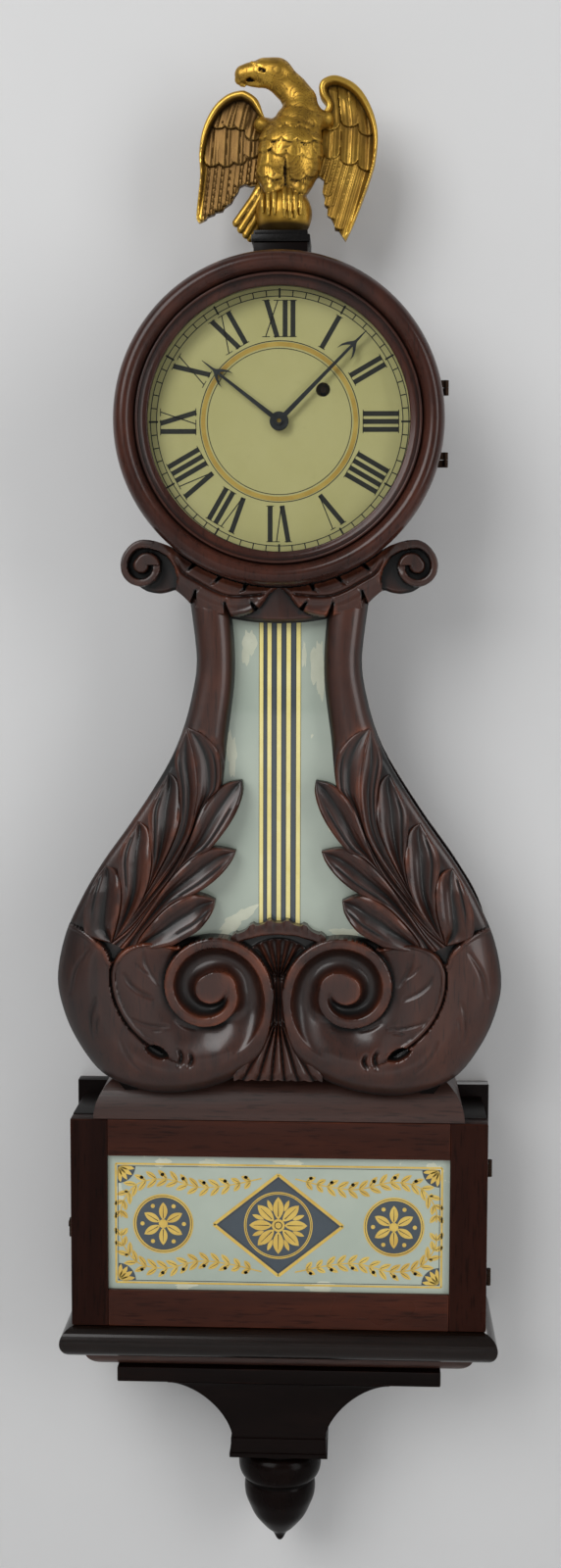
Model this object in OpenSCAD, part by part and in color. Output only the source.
// Lyre wall clock: round head, carved lyre throat, glazed box, bracket with a drop and a gilt eagle.
// Millimetres. X right, Y into the wall, Z up. Origin in the hanging hole, on the back of the backboard.

/* [Head] */
// Radius of the clear opening in the bezel
dial_open_r = 88; // [80:1:96]
// Width of the turned bezel ring
bezel_w = 23.2; // [20:0.2:27]
// Height of the bezel crest in front of the head
bezel_h = 24; // [22:1:30]
// Overhang of the bezel past the head
bezel_lap = 7; // [5:0.5:9]
// Wall of the round head
head_wall = 10; // [9:0.5:12]
// Depth of the head in front of the backboard
head_d = 82; // [80:1:92]
// Thickness of the glass panes
glass_t = 2; // [1.5:0.25:3]
// Height of the hanging hole above the dial centre
hang_rise = 76; // [74:1:80]
// Radius of the hanging hole
hang_r = 4; // [3:0.5:6]

/* [Lyre] */
// Width of the lyre at its widest
lyre_w = 306.6; // [290:1:330]
// Height of the lyre from the crest to its lowest curve
lyre_h = 349.5; // [340:1:370]
// Thickness of the carved lyre
lyre_t = 22; // [18:1:28]
// Drop from the bezel to the top of the lyre arms
lyre_drop = 5; // [4:0.5:8]
// Depth of the throat behind the lyre
throat_d = 68; // [64:1:74]
// Wall of the throat sides
throat_wall = 8; // [6:0.5:9]
// Inset of the throat sides from the lyre outline
throat_inset = 3; // [2:0.5:5]
// Radius of the scroll at each end of the crest
ear_r = 15; // [13:0.5:16]
// Distance of each ear scroll from the middle
ear_x = 92.4; // [91:0.2:96]

/* [Box] */
// Width of the box
box_w = 295.2; // [280:1:310]
// Height of the box
box_h = 151.5; // [145:0.5:165]
// Depth of the box behind its door
box_d = 60; // [56:1:66]
// Thickness of the box boards
board_t = 8; // [7:0.5:10]
// Thickness of the box sides
side_t = 10; // [8:0.5:12]
// Thickness of the backboard
back_t = 12; // [10:0.5:15]
// Overhang of the backboard past the box sides
back_lap = 5.3; // [3:0.1:8]
// Rise of the backboard above the box top
back_rise = 9; // [6:0.5:12]
// Radius of the quarter-round bolster under the lyre
bolster_r = 34; // [30:1:38]
// Width of the bolster along its foot
bolster_w = 262; // [250:1:270]
// Gap between the lowest curve of the lyre and the box top
bolster_gap = 20; // [18:0.5:24]
// Thickness of the box door
door_t = 14; // [12:0.5:18]
// Width of the door stiles
stile_w = 26.4; // [24:0.2:32]
// Width of the door rails
rail_w = 26.4; // [24:0.2:32]
// Width of the glass rebate
rebate = 5; // [4:0.25:6]

/* [Bracket] */
// Height of the torus moulding
torus_h = 22; // [18:0.5:26]
// Overhang of the torus past the box
torus_lap = 8; // [6:0.5:12]
// Height of the ovolo moulding
ovolo_h = 12; // [10:0.5:16]
// Set-back of the ovolo behind the torus
ovolo_back = 16; // [14:0.5:20]
// Width of the bracket plank
plank_w = 233; // [220:1:240]
// Thickness of the bracket plank
plank_h = 11; // [8:0.5:14]
// Height of the cove of the bracket
cove_r = 43; // [38:1:46]
// Width of the bracket block
block_w = 69; // [62:1:76]
// Height of the bracket block
block_h = 14; // [12:0.5:18]
// Depth of the bracket from the wall
bracket_d = 80; // [76:1:86]
// Largest radius of the drop
drop_r = 30.4; // [26:0.2:32]
// Height of the drop
drop_h = 76.5; // [66:0.5:84]
// Distance of the drop from the wall
drop_y = 42; // [36:0.5:44]

/* [Eagle] */
// Height of the eagle from the perch to the crown
eagle_h = 116; // [100:1:130]
// Span of the eagle from wing to wing
eagle_w = 124; // [110:1:136]
// Thickness of the eagle wings
wing_t = 9; // [7:0.5:12]
// Radius of the orb under the eagle
orb_r = 19; // [17:0.5:21]
// Width of the perch cap
perch_w = 40; // [36:1:46]
// Height of the perch above the head
perch_h = 28; // [26:0.5:34]
// Distance of the eagle from the wall
eagle_y = 60; // [54:1:66]

/* [Dial and hands] */
// Thickness of the dial
dial_t = 1.5; // [1:0.25:2.5]
// Set-back of the dial from the front of the head
dial_back = 1.5; // [1:0.25:3]
// Length of the minute hand
minute_l = 83.5; // [76:0.5:86]
// Length of the hour hand
hour_l = 66; // [58:0.5:70]
// Clock angle of the minute hand
minute_a = 44.5; // [0:0.5:359]
// Clock angle of the hour hand
hour_a = 307.8; // [0:0.1:359]
// Thickness of the hands
hand_t = 1.2; // [0.8:0.1:1.6]
// Radius of the hole for the winding key
key_r = 4.8; // [4.5:0.1:6]

/* [Movement] */
// Thickness of the movement plates
plate_t = 2.5; // [2:0.25:3]
// Space between the movement plates
plate_gap = 30; // [30:0.5:32]
// Radius of the winding barrel
barrel_r = 8; // [7.5:0.1:9]
// Radius of the arbors of the train
arbor_r = 1.5; // [1.3:0.1:1.8]
// Radius of the arbor pivots
pivot_r = 0.9; // [0.8:0.05:1.1]
// Radial play of a pin in its hole
pin_play = 0.05; // [0.03:0.01:0.08]
// Radius of the plate pillars
pillar_r = 3.5; // [3:0.25:4.5]

/* [Pendulum and weight] */
// Distance from the pendulum pivot to the middle of the bob
pendulum_l = 595; // [585:1:600]
// Radius of the bob
bob_r = 42; // [38:1:46]
// Thickness of the bob
bob_t = 12; // [10:0.5:14]
// Width of the weight
weight_w = 64; // [58:1:66]
// Depth of the weight
weight_d = 28; // [24:1:29]
// Height of the weight
weight_h = 124; // [110:1:130]
// Radius at which the line runs on the weight's pulley
pulley_r = 12.4; // [11:0.1:13.5]
// Radius of the line
line_r = 0.6; // [0.5:0.05:0.8]

/* [Hinges] */
// Radius of the hinge knuckles
knuckle_r = 1.8; // [1.6:0.1:2.2]
// Radius of the hinge pins
pin_r = 0.9; // [0.8:0.05:1.1]
// Thickness of the hinge leaves
leaf_t = 1; // [0.8:0.1:1.2]
// Length of a bezel hinge
bezel_hinge_l = 10; // [8:0.5:14]
// Length of a door hinge
door_hinge_l = 12; // [10:0.5:18]
// Gap between pieces that move past each other
run_gap = 0.3; // [0.25:0.05:0.5]

/* [Hidden] */
$fn = 96;

// Colours of the materials
mahogany = "#3d241c";
dark_wood = "#2a1914";
inner_wood = "#8a6a48";
gilt = "#b08a35";
ebonised = "#151312";
brass = "#b8964c";
steel = "#6d7074";
blued = "#23262e";
pane = "#a3b0a6";
cream = "#c9c795";
lead = "#5a5c60";

// Planes in depth; the wall is at 0 and the front is negative
y_board = -back_t;
y_head = y_board - head_d;
y_lyre = y_board - throat_d;
y_door = y_board - box_d;
y_dial = y_head + dial_back + dial_t;
y_bezel = y_head - run_gap;

// Radii of the head
bezel_r = dial_open_r + bezel_w;
head_r = bezel_r - bezel_lap;
head_in_r = head_r - head_wall;
dial_r = head_in_r - run_gap;

// Levels, measured from the dial centre
z_lyre = -bezel_r - lyre_drop;
z_lyre_low = z_lyre - lyre_h;
z_box = z_lyre_low - bolster_gap;
z_base = z_box - box_h;
z_torus = z_base - torus_h;
z_ovolo = z_torus - ovolo_h;
z_plank = z_ovolo - plank_h;
z_cove = z_plank - cove_r;
z_block = z_cove - block_h;
z_perch = sqrt(pow(head_r, 2) - pow(perch_w / 2, 2)) + perch_h;

// Cuts run past a face by this much, or right through
over = 1;
through = 200;

// Half widths
lyre_hw = lyre_w / 2;
box_hw = box_w / 2;
torus_hw = box_hw + torus_lap;
y_torus = y_door - door_t - torus_lap;
ovolo_hw = torus_hw - ovolo_back;
y_ovolo = y_torus + ovolo_back;
passage_hw = 45;
passage_front = 4;

// General helpers
function polar(r, a) = [r * cos(a), r * sin(a)];
function knot(p, i) = p[min(max(i, 0), len(p) - 1)];
function bend(a, b, c, d, t) =
  0.5 * (2 * b + (c - a) * t + (2 * a - 5 * b + 4 * c - d) * t * t + (3 * b - a - 3 * c + d) * pow(t, 3));
function spline(p, steps) = concat(
  [for (i = [0 : len(p) - 2]) for (s = [0 : steps - 1])
    bend(knot(p, i - 1), p[i], p[i + 1], knot(p, i + 2), s / steps)],
  [p[len(p) - 1]]);
function arc(c, rx, ry, a0, a1, steps) =
  [for (i = [0 : steps]) let (a = a0 + (a1 - a0) * i / steps) [c[0] + rx * cos(a), c[1] + ry * sin(a)]];
function back_to_front(p) = [for (i = [len(p) - 1 : -1 : 0]) p[i]];

// A slab of a front-view outline, from y_back towards the front
module slab(y_back, t) {
  translate([0, y_back, 0]) rotate([90, 0, 0]) linear_extrude(t) children();
}

// A round bar along Y at x, z, from y_back towards the front
module bar(x, z, y_back, l, r) {
  translate([x, y_back, z]) rotate([90, 0, 0]) cylinder(r = r, h = l);
}

// A turned ring about the Y axis; the profile is [radius, distance in front of y_back]
module turned(y_back) {
  translate([0, y_back, 0]) rotate([90, 0, 0]) rotate_extrude() children();
}

// A block between two corners
module block(a, b) {
  translate(a) cube(b - a);
}

// Everything is drawn about the dial centre and then set about the hanging hole
module placed() {
  translate([0, 0, -hang_rise]) children();
}

module mirrored_x() {
  mirror([1, 0, 0]) children();
}

// Lyre outline: shares of the half width and of the height below the arms' top
lyre_outer = [[0.404, 0], [0.372, 0.126], [0.398, 0.212], [0.476, 0.315], [0.652, 0.441], [0.835, 0.555],
  [0.952, 0.65], [1, 0.773], [0.952, 0.864], [0.809, 0.956], [0.626, 0.994], [0.483, 1], [0.32, 0.989],
  [0.176, 0.96]];
lyre_inner = [[0.176, 0.96], [0.078, 0.916], [0.021, 0.827], [0.026, 0.755], [0.117, 0.698], [0.287, 0.678],
  [0.463, 0.69], [0.387, 0.593], [0.305, 0.501], [0.26, 0.383], [0.235, 0.283], [0.202, 0.183],
  [0.202, 0.112], [0.218, 0.04], [0.228, 0]];
function on_lyre(p) = [p[0] * lyre_hw, z_lyre - p[1] * lyre_h];
function lyre_points(p) = [for (q = p) on_lyre(q)];
lyre_edge = spline(lyre_points(lyre_outer), 5);
lyre_bay = spline(lyre_points(lyre_inner), 4);
volute_at = on_lyre([0.305, 0.781]);
volute_eye_r = 10.5;
volute_band = 7.6;
volute_growth = [18.6, 26.9, 31.7, 35.9, 43];

// The throat follows the lyre outline from the head down to the bolster, then stands on the box
throat_rise = 28;
throat_foot = 16;
throat_edge = concat([[lyre_edge[0][0], z_lyre + throat_rise]],
  [for (p = lyre_edge) if (p[1] > z_lyre_low + throat_foot && p[0] > lyre_hw * 0.36) p],
  [[bolster_w / 2 - bolster_r, z_box]]);

module lyre_half_outline() {
  polygon(concat(lyre_edge, [for (i = [1 : len(lyre_bay) - 1]) lyre_bay[i]]));
}

// One carved leaf lobe, swelling between its root and its tip
module lobe(root, tip, swell, rise) {
  a = on_lyre(root);
  b = on_lyre(tip);
  y = y_lyre - lyre_t * 0.45;
  hull() {
    translate([a[0], y, a[1]]) sphere(r = swell * 0.55, $fn = 10);
    translate([a[0] * 0.45 + b[0] * 0.55, y - rise * 0.4, a[1] * 0.45 + b[1] * 0.55])
      sphere(r = swell, $fn = 12);
    translate([b[0], y, b[1]]) sphere(r = 1.4, $fn = 8);
  }
}

// Roots and tips of the leaf lobes, with how far each swells
leaf_lobes = [
  [[0.365, 0.37], [0.405, 0.272], 8], [[0.38, 0.41], [0.262, 0.318], 8],
  [[0.43, 0.48], [0.176, 0.372], 8.5], [[0.535, 0.57], [0.2, 0.51], 9],
  [[0.64, 0.635], [0.298, 0.609], 8.5], [[0.7, 0.67], [0.46, 0.668], 7],
  [[0.42, 0.42], [0.485, 0.352], 7], [[0.47, 0.5], [0.625, 0.446], 8],
  [[0.57, 0.585], [0.775, 0.537], 8.5], [[0.69, 0.655], [0.895, 0.63], 8]
];
// Outline that the inner lobes of the leaf reach past the arm
leaf_reach = [[0.23, 0.26], [0.262, 0.318], [0.26, 0.38], [0.176, 0.372], [0.2, 0.44], [0.305, 0.5],
  [0.2, 0.51], [0.27, 0.56], [0.387, 0.593], [0.298, 0.609], [0.4, 0.668], [0.463, 0.69], [0.6, 0.66],
  [0.45, 0.4]];
leaf_rib = [[0.757, 0.698], [0.546, 0.574], [0.422, 0.474], [0.364, 0.326]];
arm_line = [[0.312, 0], [0.286, 0.126], [0.295, 0.212], [0.345, 0.31]];
sheath_line = [[0.86, 0.7], [0.9, 0.79], [0.85, 0.87], [0.7, 0.925], [0.5, 0.93], [0.33, 0.91]];

// A rounded ridge along a line of lyre shares, from radius r0 to r1, flattened towards the front
module ridge(line, r0, r1, lift, steps) {
  p = spline(lyre_points(line), steps);
  n = len(p) - 1;
  for (i = [0 : n - 1]) hull() for (k = [i, i + 1])
    translate([p[k][0], y_lyre - lift, p[k][1]])
      scale([1, 0.7, 1]) sphere(r = r0 + (r1 - r0) * k / n, $fn = 12);
}

// Spiral band of the volute, one turn, clockwise on the left half and its mirror on the right
module volute_spiral() {
  turns = spline(volute_growth, 6);
  n = len(turns) - 1;
  outer = [for (i = [0 : n]) volute_at + polar(turns[i], 180 + 360 * i / n)];
  inner = [for (i = [n : -1 : 0]) volute_at + polar(turns[i] - volute_band, 180 + 360 * i / n)];
  polygon(concat(outer, inner));
}

// Right half of the lyre: back slab, round arm, leaf, sheath and volute
module lyre_half() {
  slab(y_lyre, lyre_t * 0.45) lyre_half_outline();
  intersection() {
    union() {
      ridge(arm_line, 13.5, 13, lyre_t * 0.3, 3);
      ridge(sheath_line, 20, 19, lyre_t * 0.2, 2);
      ridge(leaf_rib, 5, 2.5, lyre_t * 0.6, 3);
      for (l = leaf_lobes) lobe(l[0], l[1], l[2], lyre_t * 0.3);
    }
    slab(y_lyre, lyre_t) offset(delta = 0.01) union() {
      lyre_half_outline();
      polygon(spline(lyre_points(leaf_reach), 3));
    }
  }
  slab(y_lyre, lyre_t * 0.92) volute_spiral();
  bar(volute_at[0], volute_at[1], y_lyre, lyre_t, volute_eye_r);
}

// Bezel section, from the inner lip round the crest to the outer foot
lip_h = 15;
lip_t = 2.5;
crest_rx = 7.6;
crest_z = bezel_h - 12;
bead_r = 1.5;
bezel_section = concat(
  [[dial_open_r + rebate - 1, 0], [dial_open_r + rebate - 1, lip_h - lip_t], [dial_open_r, lip_h - lip_t],
   [dial_open_r, lip_h - 1], [dial_open_r + 1, lip_h]],
  arc([bezel_r - 2 * crest_rx - bead_r, lip_h + 0.5], bead_r, bead_r, 180, 0, 6),
  arc([bezel_r - crest_rx, crest_z], crest_rx, 12, 165, 0, 12),
  [[bezel_r, crest_z - 8], [bezel_r - 2, 0]]);

// Bezel hinge places and door hinge places
bezel_hinge_x = bezel_r + knuckle_r - 0.7;
bezel_hinge_z = [22, -26];
bezel_hinge_y = (y_head + y_bezel) / 2;
door_hinge_x = box_hw + knuckle_r + run_gap;
door_hinge_inset = 36;
door_hinge_z = [z_box - door_hinge_inset, z_base + door_hinge_inset];
door_gap = 0.5;

// Case

module backboard() {
  color(dark_wood) difference() {
    union() {
      bar(0, 0, 0, back_t, head_r);
      slab(0, back_t) polygon(concat(throat_edge, [for (p = back_to_front(throat_edge)) [-p[0], p[1]]]));
      block([-box_hw - back_lap, -back_t, z_base], [box_hw + back_lap, 0, z_box + back_rise]);
    }
    bar(0, hang_rise, over, back_t + 2 * over, hang_r);
    for (p = screw_places) bar(p[0], p[1], over, back_t + 2 * over, screw_r + pin_play);
  }
}

module head_drum() {
  color(mahogany) difference() {
    turned(y_board) translate([head_in_r, 0]) square([head_wall, head_d]);
    block([-passage_hw, y_head - over, -head_r - over], [passage_hw, y_board + over, 0]);
    for (z = bezel_hinge_z)
      block([head_in_r, y_head - over, z - bezel_hinge_l / 2],
        [head_r + over, y_head + leaf_t, z + bezel_hinge_l / 2]);
  }
}

// One bent side of the throat: a strip along the lyre outline, coped over the head and the bolster
module throat_side() {
  outer = [for (p = throat_edge) [p[0] - throat_inset, p[1]]];
  first = outer[0];
  last = outer[len(outer) - 1];
  difference() {
    slab(y_board, throat_d) intersection() {
      difference() {
        polygon(concat([[0, first[1]]], outer, [[0, last[1]]]));
        offset(delta = -throat_wall) polygon(concat([[-passage_hw, first[1] + passage_hw]],
          [first + [0, passage_hw]], outer, [last - [0, passage_hw], [-passage_hw, last[1] - passage_hw]]));
      }
      translate([passage_hw - throat_wall / 2, z_box]) square([lyre_hw, -z_box]);
    }
    bar(0, 0, over, through, head_r);
    bolster();
  }
}

module throat_side_right() {
  color(dark_wood) throat_side();
}

module throat_side_left() {
  color(dark_wood) mirrored_x() throat_side();
}

module lyre_right() {
  color(mahogany) difference() {
    lyre_half();
    slab(y_lyre + 1, lyre_t + 2) offset(delta = 0.1) crest_outline();
  }
}

module lyre_left() {
  color(mahogany) mirrored_x() lyre_right();
}

// Crest: a band under the bezel that ends in two ear scrolls
ear_rise = 13.6;
ear_z = -bezel_r + ear_rise;
crest_gap = 1.2;
crest_drop = 20;

module crest_outline() {
  rim = bezel_r + crest_gap;
  low = [[ear_x - ear_r * 0.4, ear_z - ear_r * 0.85], [ear_x * 0.79, z_lyre + crest_drop * 0.12],
    [ear_x * 0.66, z_lyre - crest_drop * 0.37], [ear_x * 0.5, z_lyre - crest_drop * 0.67],
    [ear_x * 0.33, z_lyre - crest_drop * 0.84], [0, z_lyre - crest_drop]];
  right = spline(low, 4);
  difference() {
    union() {
      polygon(concat([for (p = right) p], [for (p = back_to_front(right)) [-p[0], p[1]]],
        [[-ear_x, ear_z], [ear_r * 0.55 - ear_x, ear_z + ear_r * 0.8], [0, crest_drop - rim],
         [ear_x - ear_r * 0.55, ear_z + ear_r * 0.8], [ear_x, ear_z]]));
      for (s = [-1, 1]) translate([s * ear_x, ear_z]) circle(r = ear_r);
    }
    circle(r = rim);
  }
}

module crest_carving() {
  color(mahogany) {
    slab(y_lyre, lyre_t) crest_outline();
    for (s = [-1, 1]) {
      bar(s * ear_x, ear_z, y_lyre - lyre_t, 3, ear_r * 0.78);
      bar(s * ear_x, ear_z, y_lyre - lyre_t - 3, 2.5, ear_r * 0.42);
    }
  }
}

// Fluted shell between the volutes: scalloped arch, narrow waist and a spread foot
shell_hw = 33;
shell_rise = 13;
shell_scallops = 9;
shell_foot = 5;

module lyre_shell() {
  side = [for (p = lyre_bay) if (p[0] < shell_hw && p[1] < volute_at[1] + 40)
    p + 0.2 * (p - volute_at) / norm(p - volute_at)];
  top = side[len(side) - 1];
  arch = [for (i = [0 : 72]) let (a = 180 * i / 72, r = 1 + 0.05 * abs(sin(shell_scallops * a)))
    [top[0] * r * cos(a), top[1] + shell_rise * r * sin(a)]];
  color(mahogany) slab(y_lyre, lyre_t * 0.6) polygon(concat(side, arch,
    [for (p = back_to_front(side)) [-p[0], p[1]]], [[0, side[0][1] - shell_foot]]));
}

// Throat glass, wider at its foot, lying on the back of the lyre
glass_top = z_lyre - 6;
glass_foot = on_lyre([0, 0.715])[1];
glass_lap = 5;
glass_top_hw = on_lyre([0.202, 0])[0] + glass_lap;
glass_foot_hw = on_lyre([0.443, 0])[0] + glass_lap;

module throat_pane(grow) {
  offset(delta = grow) polygon([[-glass_top_hw, glass_top], [glass_top_hw, glass_top],
    [glass_foot_hw, glass_foot], [-glass_foot_hw, glass_foot]]);
}

module throat_glass() {
  color(pane) slab(y_lyre + glass_t, glass_t) throat_pane(0);
}

// Four cleats behind the lyre, each lapping one edge of the glass
cleat_lap = 3;
cleat_h = 10;
cleat_z = [glass_top - 28, glass_foot + 20];
function pane_hw(z) =
  glass_top_hw + (glass_foot_hw - glass_top_hw) * (glass_top - z) / (glass_top - glass_foot);

module glass_cleats() {
  color(inner_wood) for (s = [0, 1], z = cleat_z) difference() {
    mirror([s, 0, 0]) block([pane_hw(z) - cleat_lap, y_lyre, z - cleat_h / 2],
      [pane_hw(z) + cleat_lap, y_lyre + glass_t + cleat_lap, z + cleat_h / 2]);
    slab(y_lyre + glass_t, glass_t + over) throat_pane(0);
  }
}

// Bolster: a quarter-round on the front and both ends
module bolster() {
  depth = box_d + door_t;
  hw = bolster_w / 2;
  intersection() {
    slab(y_board, depth) polygon(concat(arc([hw - bolster_r, z_box], bolster_r, bolster_r, 0, 90, 24),
      arc([bolster_r - hw, z_box], bolster_r, bolster_r, 90, 180, 24)));
    translate([-hw, 0, 0]) rotate([90, 0, 90]) linear_extrude(bolster_w)
      polygon(concat([[y_board, z_box], [y_board, z_box + bolster_r]],
        arc([y_board - depth + bolster_r, z_box], bolster_r, bolster_r, 90, 180, 24)));
  }
}

// The way for weight and pendulum, through a board or moulding between two levels
module passage(z_low, z_high) {
  block([-passage_hw, y_door + passage_front, z_low - over], [passage_hw, y_board + over, z_high + over]);
}

module plinth_moulding() {
  color(mahogany) difference() {
    bolster();
    passage(z_box, z_box + bolster_r);
    slab(y_lyre, lyre_t) offset(delta = 0.2) for (s = [0, 1]) mirror([s, 0]) lyre_half_outline();
  }
}

module box_top() {
  color(mahogany) difference() {
    block([-box_hw, y_door, z_box - board_t], [box_hw, y_board, z_box]);
    passage(z_box - board_t, z_box);
  }
}

module box_bottom() {
  color(dark_wood) block([-box_hw, y_door, z_base], [box_hw, y_board, z_base + board_t]);
}

module box_side() {
  block([box_hw - side_t, y_door, z_base + board_t], [box_hw, y_board, z_box - board_t]);
}

module box_side_right() {
  color(mahogany) box_side();
}

module box_side_left() {
  color(mahogany) mirrored_x() box_side();
}

// A moulding board with one edge shape on its front and both ends
module moulded(hw, y_front, edge_ends, edge_front) {
  intersection() {
    slab(0, -y_front + 1) polygon(edge_ends);
    translate([-hw - 1, 0, 0]) rotate([90, 0, 90]) linear_extrude(2 * hw + 2) polygon(edge_front);
  }
}

module base_torus() {
  r = torus_h / 2;
  z = z_base - r;
  color(dark_wood) moulded(torus_hw, y_torus,
    concat(arc([torus_hw - r, z], r, r, -90, 90, 18), arc([r - torus_hw, z], r, r, 90, 270, 18)),
    concat([[0, z - r], [0, z + r]], arc([y_torus + r, z], r, r, 90, 270, 18)));
}

module base_ovolo() {
  r = ovolo_h;
  reach = r * 1.5;
  color(dark_wood) moulded(ovolo_hw, y_ovolo,
    concat(arc([ovolo_hw - reach, z_torus], reach, r, -90, 0, 12),
      arc([reach - ovolo_hw, z_torus], reach, r, 180, 270, 12)),
    concat([[0, z_ovolo], [0, z_torus]], arc([y_ovolo + r, z_torus], r, r, 180, 270, 12)));
}

module bracket_plank() {
  color(dark_wood) block([-plank_w / 2, -bracket_d + 4, z_plank], [plank_w / 2, 0, z_ovolo]);
}

// Coved bracket on the front and both sides, with the block under it
module bracket_cove() {
  hw = block_w / 2 - 1;
  depth = bracket_d - 10;
  reach = cove_r * 1.08;
  bend = 1.25;
  side = concat([for (i = [0 : 16]) let (a = 90 * i / 16)
    [hw + reach * (1 - pow(sin(a), bend)), z_cove + cove_r * pow(cos(a), bend)]], [[hw, z_cove - over]]);
  front_r = 6;
  color(dark_wood) {
    intersection() {
      slab(0, bracket_d + 1) polygon(concat(side, [for (p = back_to_front(side)) [-p[0], p[1]]]));
      translate([-plank_w / 2, 0, 0]) rotate([90, 0, 90]) linear_extrude(plank_w)
        polygon(concat([[0, z_cove - over], [0, z_plank], [-depth - front_r, z_plank]],
          arc([-depth - front_r, z_cove], front_r, cove_r, 90, 0, 12), [[-depth, z_cove - over]]));
    }
    block([-block_w / 2, -depth - 1, z_block + 3], [block_w / 2, 0, z_cove]);
    block([-block_w / 2 - 1, -depth - 2, z_block], [block_w / 2 + 1, 0, z_block + 3]);
  }
}

module drop_finial() {
  neck = drop_r * 0.8;
  waist = drop_r * 0.84;
  collar = drop_h * 0.14;
  color(dark_wood) translate([0, -drop_y, z_block]) rotate_extrude()
    polygon(concat([[0, 0]], [[neck, 0]],
      arc([drop_r * 0.82, -drop_h * 0.19], drop_r * 0.18, collar, 80, -80, 10),
      spline([[waist, -drop_h * 0.34], [drop_r * 0.86, -drop_h * 0.44], [drop_r * 0.755, -drop_h * 0.6],
        [drop_r * 0.605, -drop_h * 0.73], [drop_r * 0.33, -drop_h * 0.86], [drop_r * 0.18, -drop_h * 0.91],
        [drop_r * 0.09, -drop_h * 0.98], [2, -drop_h]], 4),
      [[0, -drop_h]]));
}

// Eagle

cap_t = [5, 3];
cap_step = 1.5;
orb_at = [1.5, -eagle_y, z_perch + orb_r * 0.74];

// A block of the perch between two levels, set in from the width of the cap
module perch_block(inset, z_low, z_high) {
  hw = perch_w / 2 - inset;
  block([-hw, -eagle_y - hw, z_low], [hw, -eagle_y + hw, z_high]);
}

module perch_neck() {
  color(dark_wood) difference() {
    perch_block(cap_step, 0, z_perch - cap_t[0] - cap_t[1]);
    bar(0, 0, over, through, head_r);
  }
}

module perch_cap() {
  color(ebonised) {
    perch_block(0, z_perch - cap_t[0] - cap_t[1], z_perch - cap_t[1]);
    perch_block(cap_step, z_perch - cap_t[1], z_perch);
  }
}

module eagle_orb() {
  color(gilt) difference() {
    translate(orb_at) sphere(r = orb_r);
    block([-2 * orb_r, -eagle_y - 2 * orb_r, z_perch - orb_r], [2 * orb_r, -eagle_y + 2 * orb_r, z_perch]);
  }
}

// Stations of the eagle: share of the span across, millimetres forward, share of the height up, radius as
// a share of the height
eagle_trunk = [[0.012, 3, 0.27, 0.121], [0.035, 5, 0.4, 0.177], [0.05, 6, 0.54, 0.194],
  [0.072, 4, 0.64, 0.164], [0.09, 2, 0.73, 0.116], [0.06, 1, 0.81, 0.099], [-0.005, 1, 0.87, 0.089],
  [-0.075, 1, 0.91, 0.086], [-0.165, 1, 0.9, 0.06], [-0.215, 1, 0.89, 0.04], [-0.213, 1, 0.83, 0.016]];
eagle_tail = [[-0.1, -8, 0.3, 0.069], [-0.15, -12, 0.2, 0.069], [-0.21, -14, 0.05, 0.052]];
eagle_thighs = [[[-0.08, 6, 0.34, 0.078], [-0.055, 14, 0.24, 0.043]],
  [[0.11, 6, 0.34, 0.078], [0.08, 14, 0.24, 0.043]]];

module eagle_station(s) {
  translate([s[0] * eagle_w, -eagle_y - s[1], z_perch + s[2] * eagle_h])
    sphere(r = s[3] * eagle_h, $fn = 16);
}

module eagle_run(stations) {
  for (i = [0 : len(stations) - 2]) hull() {
    eagle_station(stations[i]);
    eagle_station(stations[i + 1]);
  }
}

module eagle_body() {
  color(gilt) difference() {
    union() {
      eagle_run(eagle_trunk);
      eagle_run(eagle_tail);
      for (t = eagle_thighs) eagle_run(t);
    }
    translate(orb_at) sphere(r = orb_r + 0.08, $fn = 48);
    block([-eagle_w, -eagle_y, z_perch + eagle_h * 0.27], [eagle_w, 0, z_perch + eagle_h * 0.79]);
    eagle_wing(wing_left);
    eagle_wing(wing_right);
  }
}

// Wing outlines: shares of the span across and of the height
wing_left = [[0, 0.4], [-0.06, 0.62], [-0.125, 0.76], [-0.235, 0.835], [-0.345, 0.77], [-0.43, 0.63],
  [-0.462, 0.5], [-0.465, 0.37], [-0.482, 0.16], [-0.472, 0.11], [-0.38, 0.155], [-0.285, 0.2],
  [-0.225, 0.3], [-0.12, 0.34]];
wing_right = [[0, 0.4], [0.1, 0.36], [0.228, 0.34], [0.242, 0.22], [0.295, 0.06], [0.356, -0.02],
  [0.41, 0.12], [0.485, 0.35], [0.522, 0.52], [0.532, 0.68], [0.485, 0.86], [0.415, 0.94], [0.335, 0.95],
  [0.205, 0.875], [0.225, 0.75], [0.06, 0.62]];

// Spread of the outline on the wall side; the wings lie against the back of the body
module eagle_wing(outline) {
  rim = spline([for (p = outline) [p[0] * eagle_w, z_perch + p[1] * eagle_h]], 3);
  y = -eagle_y + wing_t;
  slab(y, wing_t * 0.7) polygon(rim);
  slab(y - wing_t * 0.7, wing_t * 0.3) offset(delta = -wing_t / 3) polygon(rim);
}

module eagle_wing_left() {
  color(gilt) eagle_wing(wing_left);
}

module eagle_wing_right() {
  color(gilt) eagle_wing(wing_right);
}

// Movement places, from the dial centre
barrel_at = [29.5, 21.4];
third_at = [-19.34, 14.2];
escape_at = [-6, 31];
verge_at = [0, 50];
minute_wheel_at = [11.314, -11.314];
pillar_places = [[42, 62], [-42, 62], [42, -54], [-42, -54]];
screw_places = [[34, 50], [-34, 50], [30, -54], [-30, -54]];
screw_r = 1.6;
plate_hw = 48;
plate_low = -60;
plate_h = 128;
stud_r = 1;
stud_l = 7.4;
y_back_plate = y_board;
y_works = y_back_plate - plate_t;
y_front_plate = y_works - plate_gap;
y_motion = y_front_plate - plate_t;
y_pendulum = y_motion - 12;
rod_t = 2;
rod_r = 1.5;

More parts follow.
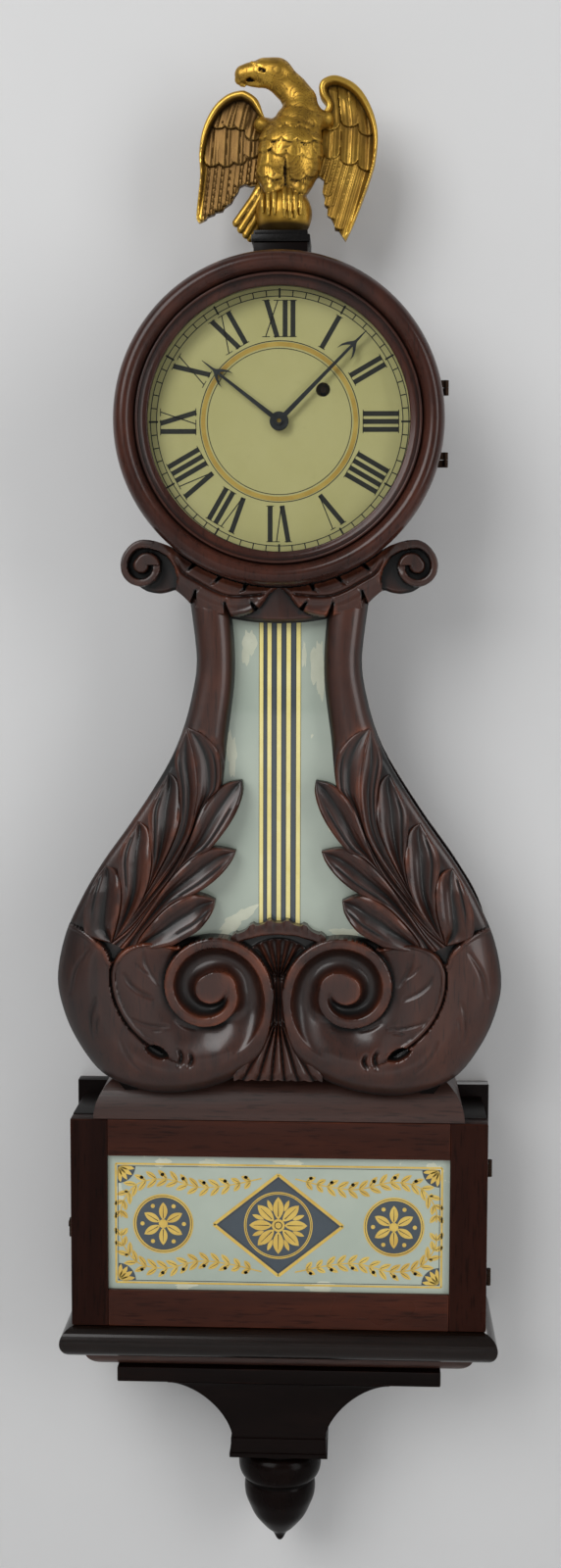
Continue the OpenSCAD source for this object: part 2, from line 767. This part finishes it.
// Wheel outline: trapezoid teeth between root and tip radius; half widths are shares of the pitch
function tooth(p, a, root, tip, wide, narrow) = [polar(root, a - p * wide), polar(tip, a - p * narrow),
  polar(tip, a + p * narrow), polar(root, a + p * wide)];
function toothed(n, root, tip, wide, narrow, phase) =
  [for (i = [0 : n - 1]) each tooth(360 / n, phase + 360 / n * i, root, tip, wide, narrow)];
function aim(from, to) = atan2(to[1] - from[1], to[0] - from[0]);

// A wheel and a pinion that mesh at a distance; a gap of the wheel faces a leaf of the pinion
module wheel_teeth(n, m, face) {
  polygon(toothed(n, n * m / 2 - 1.35 * m, n * m / 2 + 0.85 * m, 0.27, 0.1, face + 180 / n));
}

module pinion_teeth(n, m, face) {
  polygon(toothed(n, n * m / 2 - 1.3 * m, n * m / 2 + 0.6 * m, 0.2, 0.1, face));
}

// Sizes of the train
great_n = 96;
centre_n = 72;
third_n = 70;
escape_n = 30;
leaves = 8;
great_m = 2 * norm(barrel_at) / (great_n + leaves);
centre_m = 2 * norm(third_at) / (centre_n + leaves);
third_m = 2 * norm(escape_at - third_at) / (third_n + leaves);
motion_m = 2 * norm(minute_wheel_at) / (20 + 60);
hour_m = 2 * norm(minute_wheel_at) / (15 + 60);
escape_r = 16;

// Layers of the train, in front of the back plate
barrel_y = 2.5;
barrel_l = 19;
great_y = 22.5;
centre_y = 16.5;
third_y = 6.5;
escape_y = 12;
wheel_t = 2;
arm_w = 2.6;

// Pivots in both plates with an arbor between them
module arbor(at, r) {
  bar(at[0], at[1], y_works - 0.3, plate_gap - 0.6, r);
  bar(at[0], at[1], y_back_plate - run_gap, plate_gap + 2 * plate_t - run_gap, pivot_r);
}

module crossed_wheel(at, y, n, m, face, rim, hub, arms) {
  slab(y, wheel_t) translate(at) difference() {
    wheel_teeth(n, m, face);
    difference() {
      circle(r = n * m / 2 - 1.35 * m - rim);
      circle(r = hub);
      for (i = [0 : arms - 1]) rotate(360 * i / arms + 45) translate([0, -arm_w / 2])
        square([n * m / 2 - rim, arm_w]);
    }
  }
}

module plate_outline() {
  translate([-plate_hw, plate_low]) square([2 * plate_hw, plate_h]);
}

// A round hole through a plate
module plate_hole(at, y_back, r) {
  bar(at[0], at[1], y_back + over, plate_t + 2 * over, r);
}

module back_plate() {
  color(brass) difference() {
    slab(y_back_plate, plate_t) plate_outline();
    for (p = [[0, 0], barrel_at, third_at, escape_at, verge_at])
      plate_hole(p, y_back_plate, pivot_r + pin_play);
    for (p = screw_places) plate_hole(p, y_back_plate, screw_r + pin_play);
  }
}

// Front plate, with the stud that carries the minute wheel
module front_plate() {
  color(brass) {
    difference() {
      slab(y_front_plate, plate_t) plate_outline();
      for (p = [third_at, escape_at]) plate_hole(p, y_front_plate, pivot_r + pin_play);
      for (p = [[0, 0], barrel_at, verge_at]) plate_hole(p, y_front_plate, arbor_r + pin_play);
      for (p = screw_places) plate_hole(p, y_front_plate, 3 * screw_r);
    }
    bar(minute_wheel_at[0], minute_wheel_at[1], y_front_plate - plate_t / 2, plate_t / 2 + stud_l, stud_r);
  }
}

// Four pillars between the plates, and the stud that holds the end of the line
module plate_pillars() {
  color(brass) {
    for (p = pillar_places) bar(p[0], p[1], y_works, plate_gap, pillar_r);
    bar(line_end[0], line_end[1], y_works, plate_gap, line_stud_r);
  }
}

module movement_screws() {
  head_l = 2;
  color(steel) for (p = screw_places) {
    bar(p[0], p[1], -1, back_t + plate_t - 1, screw_r);
    bar(p[0], p[1], y_works, head_l, 1.9 * screw_r);
  }
}

module dial() {
  color(cream) difference() {
    slab(y_dial, dial_t) circle(r = dial_r);
    bar(0, 0, y_dial + 1, dial_t + 2, hour_pipe_r + 1);
    bar(barrel_at[0], barrel_at[1], y_dial + 1, dial_t + 2, key_r);
  }
}

module dial_posts() {
  color(brass) for (p = pillar_places) bar(p[0], p[1], y_motion, y_motion - y_dial, 2.5);
}

module pendulum_cock() {
  cheek = 2;
  y = y_pendulum;
  color(brass) difference() {
    union() {
      block([-6, y - rod_t / 2 - cheek - run_gap, verge_at[1] + 4], [6, y_motion, verge_at[1] + 12]);
      for (c = [y + rod_t / 2 + run_gap, y - rod_t / 2 - run_gap - cheek])
        block([-4, c, verge_at[1] - 4], [4, c + cheek, verge_at[1] + 5]);
    }
    bar(0, verge_at[1], y + 10, 20, arbor_r + pin_play);
  }
}

// Tin sheet between the weight and the pendulum, let into the walls of the passage
baffle_t = 1;
baffle_top = z_lyre - 60;

module weight_baffle() {
  color(steel) block([-passage_hw, y_front_plate, z_box - board_t],
    [passage_hw, y_front_plate + baffle_t, baffle_top]);
}

// Barrel and line
line_x = barrel_at[0] - barrel_r - line_r;
pulley_x = line_x - pulley_r;
line_y = y_works - barrel_y - barrel_l / 2;
line_end = [pulley_x - pulley_r, -50];
line_stud_r = 2;
flange_t = 1.5;
flange_w = 4.5;
square_l = 11;
square_r = 2.4;

module winding_barrel() {
  color(brass) {
    bar(barrel_at[0], barrel_at[1], y_works - barrel_y, barrel_l, barrel_r);
    for (y = [0, barrel_l - flange_t])
      bar(barrel_at[0], barrel_at[1], y_works - barrel_y - y, flange_t, barrel_r + flange_w);
    bar(barrel_at[0], barrel_at[1], y_works - run_gap, y_works - y_dial - square_l + over, arbor_r);
    bar(barrel_at[0], barrel_at[1], y_back_plate - run_gap, plate_t, pivot_r);
    translate([barrel_at[0], y_dial + square_l + over, barrel_at[1]]) rotate([90, 45, 0])
      cylinder(r = square_r, h = square_l, $fn = 4);
  }
}

module great_wheel() {
  color(brass) difference() {
    crossed_wheel(barrel_at, y_works - great_y, great_n, great_m, aim(barrel_at, [0, 0]), 3.5, 6, 4);
    bar(barrel_at[0], barrel_at[1], 0, through, arbor_r + pin_play);
  }
}

module centre_wheel() {
  color(brass) {
    crossed_wheel([0, 0], y_works - centre_y, centre_n, centre_m, aim([0, 0], third_at), 3, 5, 4);
    slab(y_works - great_y + 0.5, wheel_t + 1.5) pinion_teeth(leaves, great_m, aim([0, 0], barrel_at));
    bar(0, 0, y_works - 0.3, y_works - y_dial + 8, arbor_r);
    bar(0, 0, y_back_plate - run_gap, plate_t, pivot_r);
  }
}

module third_wheel() {
  color(brass) {
    crossed_wheel(third_at, y_works - third_y, third_n, third_m, aim(third_at, escape_at), 3, 5, 4);
    slab(y_works - centre_y + 0.5, wheel_t + 1)
      translate(third_at) pinion_teeth(leaves, centre_m, aim(third_at, [0, 0]));
    arbor(third_at, 1.2);
  }
}

module escape_wheel() {
  root = escape_r - 3.2;
  color(brass) {
    slab(y_works - escape_y, wheel_t) translate(escape_at) difference() {
      polygon([for (i = [0 : escape_n - 1]) let (p = 360 / escape_n, a = -p * i)
        each [polar(root, a), polar(escape_r, a - p * 0.62), polar(escape_r, a - p * 0.72),
          polar(root, a - p * 0.9)]]);
      difference() {
        circle(r = root - 2.2);
        circle(r = 4);
        for (i = [0 : 3]) rotate(90 * i) translate([0, -1.1]) square([root, 2.2]);
      }
    }
    slab(y_works - third_y + 0.5, wheel_t + 1)
      translate(escape_at) pinion_teeth(leaves, third_m, aim(escape_at, third_at));
    arbor(escape_at, 1.1);
  }
}

// Anchor over the escape wheel, arbor and the crutch that reaches the pendulum
pallet_lift = 1.2;
pallet_span = 46;

module verge_arm(side) {
  dir = aim(escape_at, verge_at) + side * pallet_span;
  tip = escape_at + polar(escape_r + pallet_lift, dir);
  heel = escape_at + polar(escape_r + pallet_lift + 5, dir + side * 4);
  polygon(side > 0 ? [verge_at + [0, -3], verge_at + [0, 3], heel, tip] :
    [verge_at + [0, 3], verge_at + [0, -3], tip, heel]);
}

module verge() {
  crutch_low = verge_at[1] - 27;
  y = y_works - escape_y + 0.5;
  color(steel) {
    difference() {
      union() {
        slab(y, wheel_t + 1) verge_arm(1);
        slab(y, wheel_t + 1) verge_arm(-1);
        bar(verge_at[0], verge_at[1], y, wheel_t + 1, 3.4);
      }
      bar(escape_at[0], escape_at[1], y + 1, wheel_t + 3, escape_r + pallet_lift - 0.1);
    }
    bar(verge_at[0], verge_at[1], y_works - 0.3, y_works - y_motion + 2.4, arbor_r);
    bar(verge_at[0], verge_at[1], y_back_plate - run_gap, plate_t, pivot_r);
    block([-1.5, y_motion - 3, crutch_low], [1.5, y_motion - 1.4, verge_at[1]]);
    bar(0, crutch_low + 2, y_motion - 3, y_motion - 3 - y_pendulum + 2, 0.8);
  }
}

// Pendulum: pivot pin, rod with a ring round the hand arbor, bob and nut
bob_z = verge_at[1] - pendulum_l;
nut_h = 9;

module pendulum_rod() {
  ring = [9.5, 12];
  y = y_pendulum + rod_t / 2;
  color(steel) difference() {
    union() {
      bar(0, verge_at[1], y + 2 + run_gap, rod_t + 4 + 2 * run_gap, arbor_r);
      slab(y, rod_t) union() {
        translate([-2.5, ring[0] + 1]) square([5, verge_at[1] - ring[0] + 1]);
        circle(r = ring[1]);
        translate([-2, bob_z + bob_r - 4]) square([4, -bob_z - bob_r + 4 - ring[0] - 1]);
      }
      translate([0, y_pendulum, bob_z - bob_r - nut_h - 6]) cylinder(r = rod_r, h = 2 * bob_r + nut_h + 8);
    }
    bar(0, 0, y + 5, 20, ring[0]);
    bar(0, verge_at[1] - 25, y + 5, 20, 0.8 + pin_play);
  }
}

module pendulum_bob() {
  rim = bob_t * 0.2;
  color(brass) difference() {
    translate([0, y_pendulum + bob_t / 2, bob_z]) rotate([90, 0, 0]) rotate_extrude()
      polygon([[0, 0], [bob_r * 0.6, 0], [bob_r, bob_t * 0.35], [bob_r, bob_t * 0.35 + rim],
        [bob_r * 0.6, bob_t], [0, bob_t]]);
    translate([0, y_pendulum, bob_z - bob_r - 1]) cylinder(r = rod_r + pin_play, h = 2 * bob_r + 2);
    block([-2 - run_gap, y_pendulum - 1 - run_gap, bob_z + bob_r - 6],
      [2 + run_gap, y_pendulum + 1 + run_gap, bob_z + bob_r + over]);
  }
}

module rating_nut() {
  color(brass) difference() {
    translate([0, y_pendulum, bob_z - bob_r - nut_h]) union() {
      cylinder(r = 5, h = nut_h - 3);
      cylinder(r = 2.8, h = nut_h);
    }
    translate([0, y_pendulum, bob_z - bob_r - nut_h - 1]) cylinder(r = rod_r + pin_play, h = nut_h + 2);
  }
}

// Motion work and hands
cannon_r = 2.6;
hour_pipe_r = 3.8;
y_hour_hand = y_dial - dial_t - 3;
y_minute_hand = y_hour_hand - hand_t - 1.6;

// A hand: round boss, slender tapering shaft, needle point and two swept barbs
module hand_outline(l, boss) {
  half = [[0.85, l - 14], [3, l - 16], [4.8, l - 18.6], [6, l - 21.5], [5.7, l - 18], [4, l - 14.4],
    [1.4, l - 11], [0.85, l - 9.5]];
  circle(r = boss);
  polygon(concat([[1.7, 0]], half, [[0.2, l], [-0.2, l]], [for (p = back_to_front(half)) [-p[0], p[1]]],
    [[-1.7, 0]]));
}

module minute_hand() {
  color(blued) difference() {
    union() {
      slab(y_minute_hand, hand_t) rotate(-minute_a) hand_outline(minute_l, 6.2);
      bar(0, 0, y_motion - 1, y_motion - 1 - y_minute_hand + hand_t + 2, cannon_r);
      slab(y_motion - 1.5, wheel_t + 0.6) pinion_teeth(20, motion_m, aim([0, 0], minute_wheel_at));
    }
    bar(0, 0, 0, through, arbor_r + pin_play);
  }
}

module minute_wheel() {
  at = minute_wheel_at;
  color(brass) difference() {
    union() {
      slab(y_motion - 1.8, wheel_t) translate(at) wheel_teeth(60, motion_m, aim(at, [0, 0]));
      slab(y_motion - 1.8 - wheel_t, 3) translate(at) pinion_teeth(15, hour_m, aim(at, [0, 0]));
    }
    bar(at[0], at[1], y_motion + over, through, stud_r + pin_play);
  }
}

module hour_hand() {
  color(blued) difference() {
    union() {
      slab(y_hour_hand, hand_t) rotate(-hour_a) hand_outline(hour_l, 6.4);
      bar(0, 0, y_motion - 4.2, y_motion - 4.2 - y_hour_hand + hand_t, hour_pipe_r);
      slab(y_motion - 4.4, wheel_t) wheel_teeth(60, hour_m, aim([0, 0], minute_wheel_at));
    }
    bar(0, 0, 0, through, cannon_r + pin_play);
  }
}

// Weight, pulley and line; the weight is drawn run down
weight_y = line_y;
weight_z = z_base + board_t + 4;
pulley_z = weight_z + weight_h + 22;

module weight() {
  cheek_y = 4.2;
  color(lead) {
    block([pulley_x - weight_w / 2, weight_y - weight_d / 2, weight_z],
      [pulley_x + weight_w / 2, weight_y + weight_d / 2, weight_z + weight_h]);
    difference() {
      for (s = [-1, 1]) block([pulley_x - 4, weight_y + s * cheek_y - 0.8, weight_z + weight_h],
        [pulley_x + 4, weight_y + s * cheek_y + 0.8, pulley_z + 4]);
      bar(pulley_x, pulley_z, weight_y + 8, 16, arbor_r + pin_play);
    }
  }
}

module weight_pulley() {
  color(brass) {
    translate([pulley_x, weight_y + 2.5, pulley_z]) rotate([90, 0, 0]) rotate_extrude()
      polygon([[0, 0], [pulley_r + 1.5, 0], [pulley_r - line_r - 0.3, 1.8], [pulley_r - line_r - 0.3, 3.2],
        [pulley_r + 1.5, 5], [0, 5]]);
    bar(pulley_x, pulley_z, weight_y + 5.4, 10.8, arbor_r);
  }
}

// Two falls of the line: one from the barrel, one from the stud between the plates
module weight_line() {
  color(inner_wood) {
    translate([line_x, line_y, pulley_z]) cylinder(r = line_r, h = barrel_at[1] - pulley_z);
    difference() {
      translate([line_end[0], line_y, pulley_z]) cylinder(r = line_r, h = line_end[1] - pulley_z);
      bar(line_end[0], line_end[1], y_works, plate_gap, line_stud_r);
    }
  }
}

// Bezel

module bezel_ring() {
  color(mahogany) difference() {
    turned(y_bezel) polygon(bezel_section);
    for (z = bezel_hinge_z)
      block([head_in_r, y_bezel - leaf_t, z - bezel_hinge_l / 2],
        [bezel_r + over, y_bezel + over, z + bezel_hinge_l / 2]);
  }
}

module bezel_glass() {
  color(pane) slab(y_bezel - lip_h + lip_t + glass_t, glass_t) circle(r = dial_open_r + rebate - 1.2);
}

module glass_retainer() {
  color(dark_wood) turned(y_bezel - lip_h + lip_t + glass_t + 3)
    translate([dial_open_r + 0.5, 0]) square([rebate - 1.7, 3]);
}

// Hinges. The fixed leaf carries the lower knuckle and the pin; the moving leaf turns on the pin above it.
module fixed_knuckle(x, y, z, l) {
  translate([x, y, z - l / 2]) cylinder(r = knuckle_r, h = l / 2 - run_gap / 2);
  translate([x, y, z - l / 2]) cylinder(r = pin_r, h = l);
}

module moving_knuckle(x, y, z, l) {
  difference() {
    union() {
      translate([x, y, z + run_gap / 2]) cylinder(r = knuckle_r, h = l / 2 - run_gap / 2);
      children();
    }
    translate([x, y, z - l]) cylinder(r = pin_r + pin_play, h = 2 * l);
    translate([x, y, z - l]) cylinder(r = knuckle_r + run_gap, h = l + run_gap / 2);
  }
}

leaf_w = 11;
leaf_gap = 0.1;

module case_hinge_leaves() {
  color(brass) {
    for (z = bezel_hinge_z) {
      fixed_knuckle(bezel_hinge_x, bezel_hinge_y, z, bezel_hinge_l);
      block([head_in_r + 1, y_head, z - bezel_hinge_l / 2],
        [bezel_hinge_x - pin_r, y_head + leaf_t, z - run_gap / 2]);
    }
    for (z = door_hinge_z) {
      fixed_knuckle(door_hinge_x, y_door, z, door_hinge_l);
      block([box_hw, y_door + leaf_gap, z - door_hinge_l / 2],
        [box_hw + leaf_t, y_door + leaf_w, z - run_gap / 2]);
    }
  }
}

module bezel_hinge_leaves() {
  color(brass) for (z = bezel_hinge_z)
    moving_knuckle(bezel_hinge_x, bezel_hinge_y, z, bezel_hinge_l)
      block([head_in_r + 1, y_bezel - leaf_t, z + run_gap / 2],
        [bezel_hinge_x - pin_r, y_bezel, z + bezel_hinge_l / 2]);
}

module door_hinge_leaves() {
  color(brass) for (z = door_hinge_z)
    moving_knuckle(door_hinge_x, y_door, z, door_hinge_l)
      block([box_hw, y_door - leaf_w, z + run_gap / 2],
        [box_hw + leaf_t, y_door - leaf_gap, z + door_hinge_l / 2]);
}

// Box door
z_door_top = z_box - door_gap;
z_door_low = z_base + door_gap;
y_pane = y_door - door_t + 4;

module pane_space(grow) {
  block([-box_hw + stile_w - grow, y_pane, z_door_low + rail_w - grow],
    [box_hw - stile_w + grow, y_door + 1, z_door_top - rail_w + grow]);
}

module door_stiles() {
  color(mahogany) for (s = [-1, 1]) difference() {
    block([s < 0 ? -box_hw : box_hw - stile_w, y_door - door_t, z_door_low],
      [s < 0 ? -box_hw + stile_w : box_hw, y_door - run_gap, z_door_top]);
    pane_space(rebate);
  }
}

module door_rails() {
  color(mahogany) for (z = [z_door_low, z_door_top - rail_w]) difference() {
    block([-box_hw + stile_w, y_door - door_t, z], [box_hw - stile_w, y_door - run_gap, z + rail_w]);
    pane_space(rebate);
  }
}

module tablet_glass() {
  g = rebate - 0.2;
  color(pane) block([-box_hw + stile_w - g, y_pane, z_door_low + rail_w - g],
    [box_hw - stile_w + g, y_pane + glass_t, z_door_top - rail_w + g]);
}

module tablet_beads() {
  w = rebate - 0.4;
  y = y_pane + glass_t;
  x0 = box_hw - stile_w;
  z0 = z_door_low + rail_w;
  z1 = z_door_top - rail_w;
  color(inner_wood) {
    for (s = [-1, 1]) block([s < 0 ? -x0 - w : x0, y, z0], [s < 0 ? -x0 : x0 + w, y + 4, z1]);
    for (z = [z0 - w, z1]) block([-x0, y, z], [x0, y + 4, z + w]);
  }
}

// Turn-button on the free edge of the door; it lies along the edge at rest
module door_button() {
  z = (z_box + z_base) / 2 - 3;
  y = y_door - door_t / 2;
  color(brass) {
    translate([-box_hw - 0.4, y, z]) rotate([0, -90, 0]) cylinder(r = 2.2, h = 2);
    block([-box_hw - 1.8, y - 2, z - 9], [-box_hw - 0.4, y + 2, z + 4]);
  }
}

placed() backboard();
placed() head_drum();
placed() throat_side_left();
placed() throat_side_right();
placed() lyre_left();
placed() lyre_right();
placed() crest_carving();
placed() lyre_shell();
placed() throat_glass();
placed() glass_cleats();
placed() plinth_moulding();
placed() box_top();
placed() box_bottom();
placed() box_side_left();
placed() box_side_right();
placed() base_torus();
placed() base_ovolo();
placed() bracket_plank();
placed() bracket_cove();
placed() drop_finial();
placed() perch_neck();
placed() perch_cap();
placed() eagle_orb();
placed() eagle_body();
placed() eagle_wing_left();
placed() eagle_wing_right();
placed() case_hinge_leaves();
placed() dial();
placed() dial_posts();
placed() front_plate();
placed() back_plate();
placed() plate_pillars();
placed() movement_screws();
placed() pendulum_cock();
placed() weight_baffle();
placed() bezel_ring();
placed() bezel_glass();
placed() glass_retainer();
placed() bezel_hinge_leaves();
placed() door_stiles();
placed() door_rails();
placed() tablet_glass();
placed() tablet_beads();
placed() door_hinge_leaves();
placed() door_button();
placed() great_wheel();
placed() winding_barrel();
placed() centre_wheel();
placed() third_wheel();
placed() escape_wheel();
placed() verge();
placed() pendulum_rod();
placed() pendulum_bob();
placed() rating_nut();
placed() minute_hand();
placed() minute_wheel();
placed() hour_hand();
placed() weight();
placed() weight_pulley();
placed() weight_line();
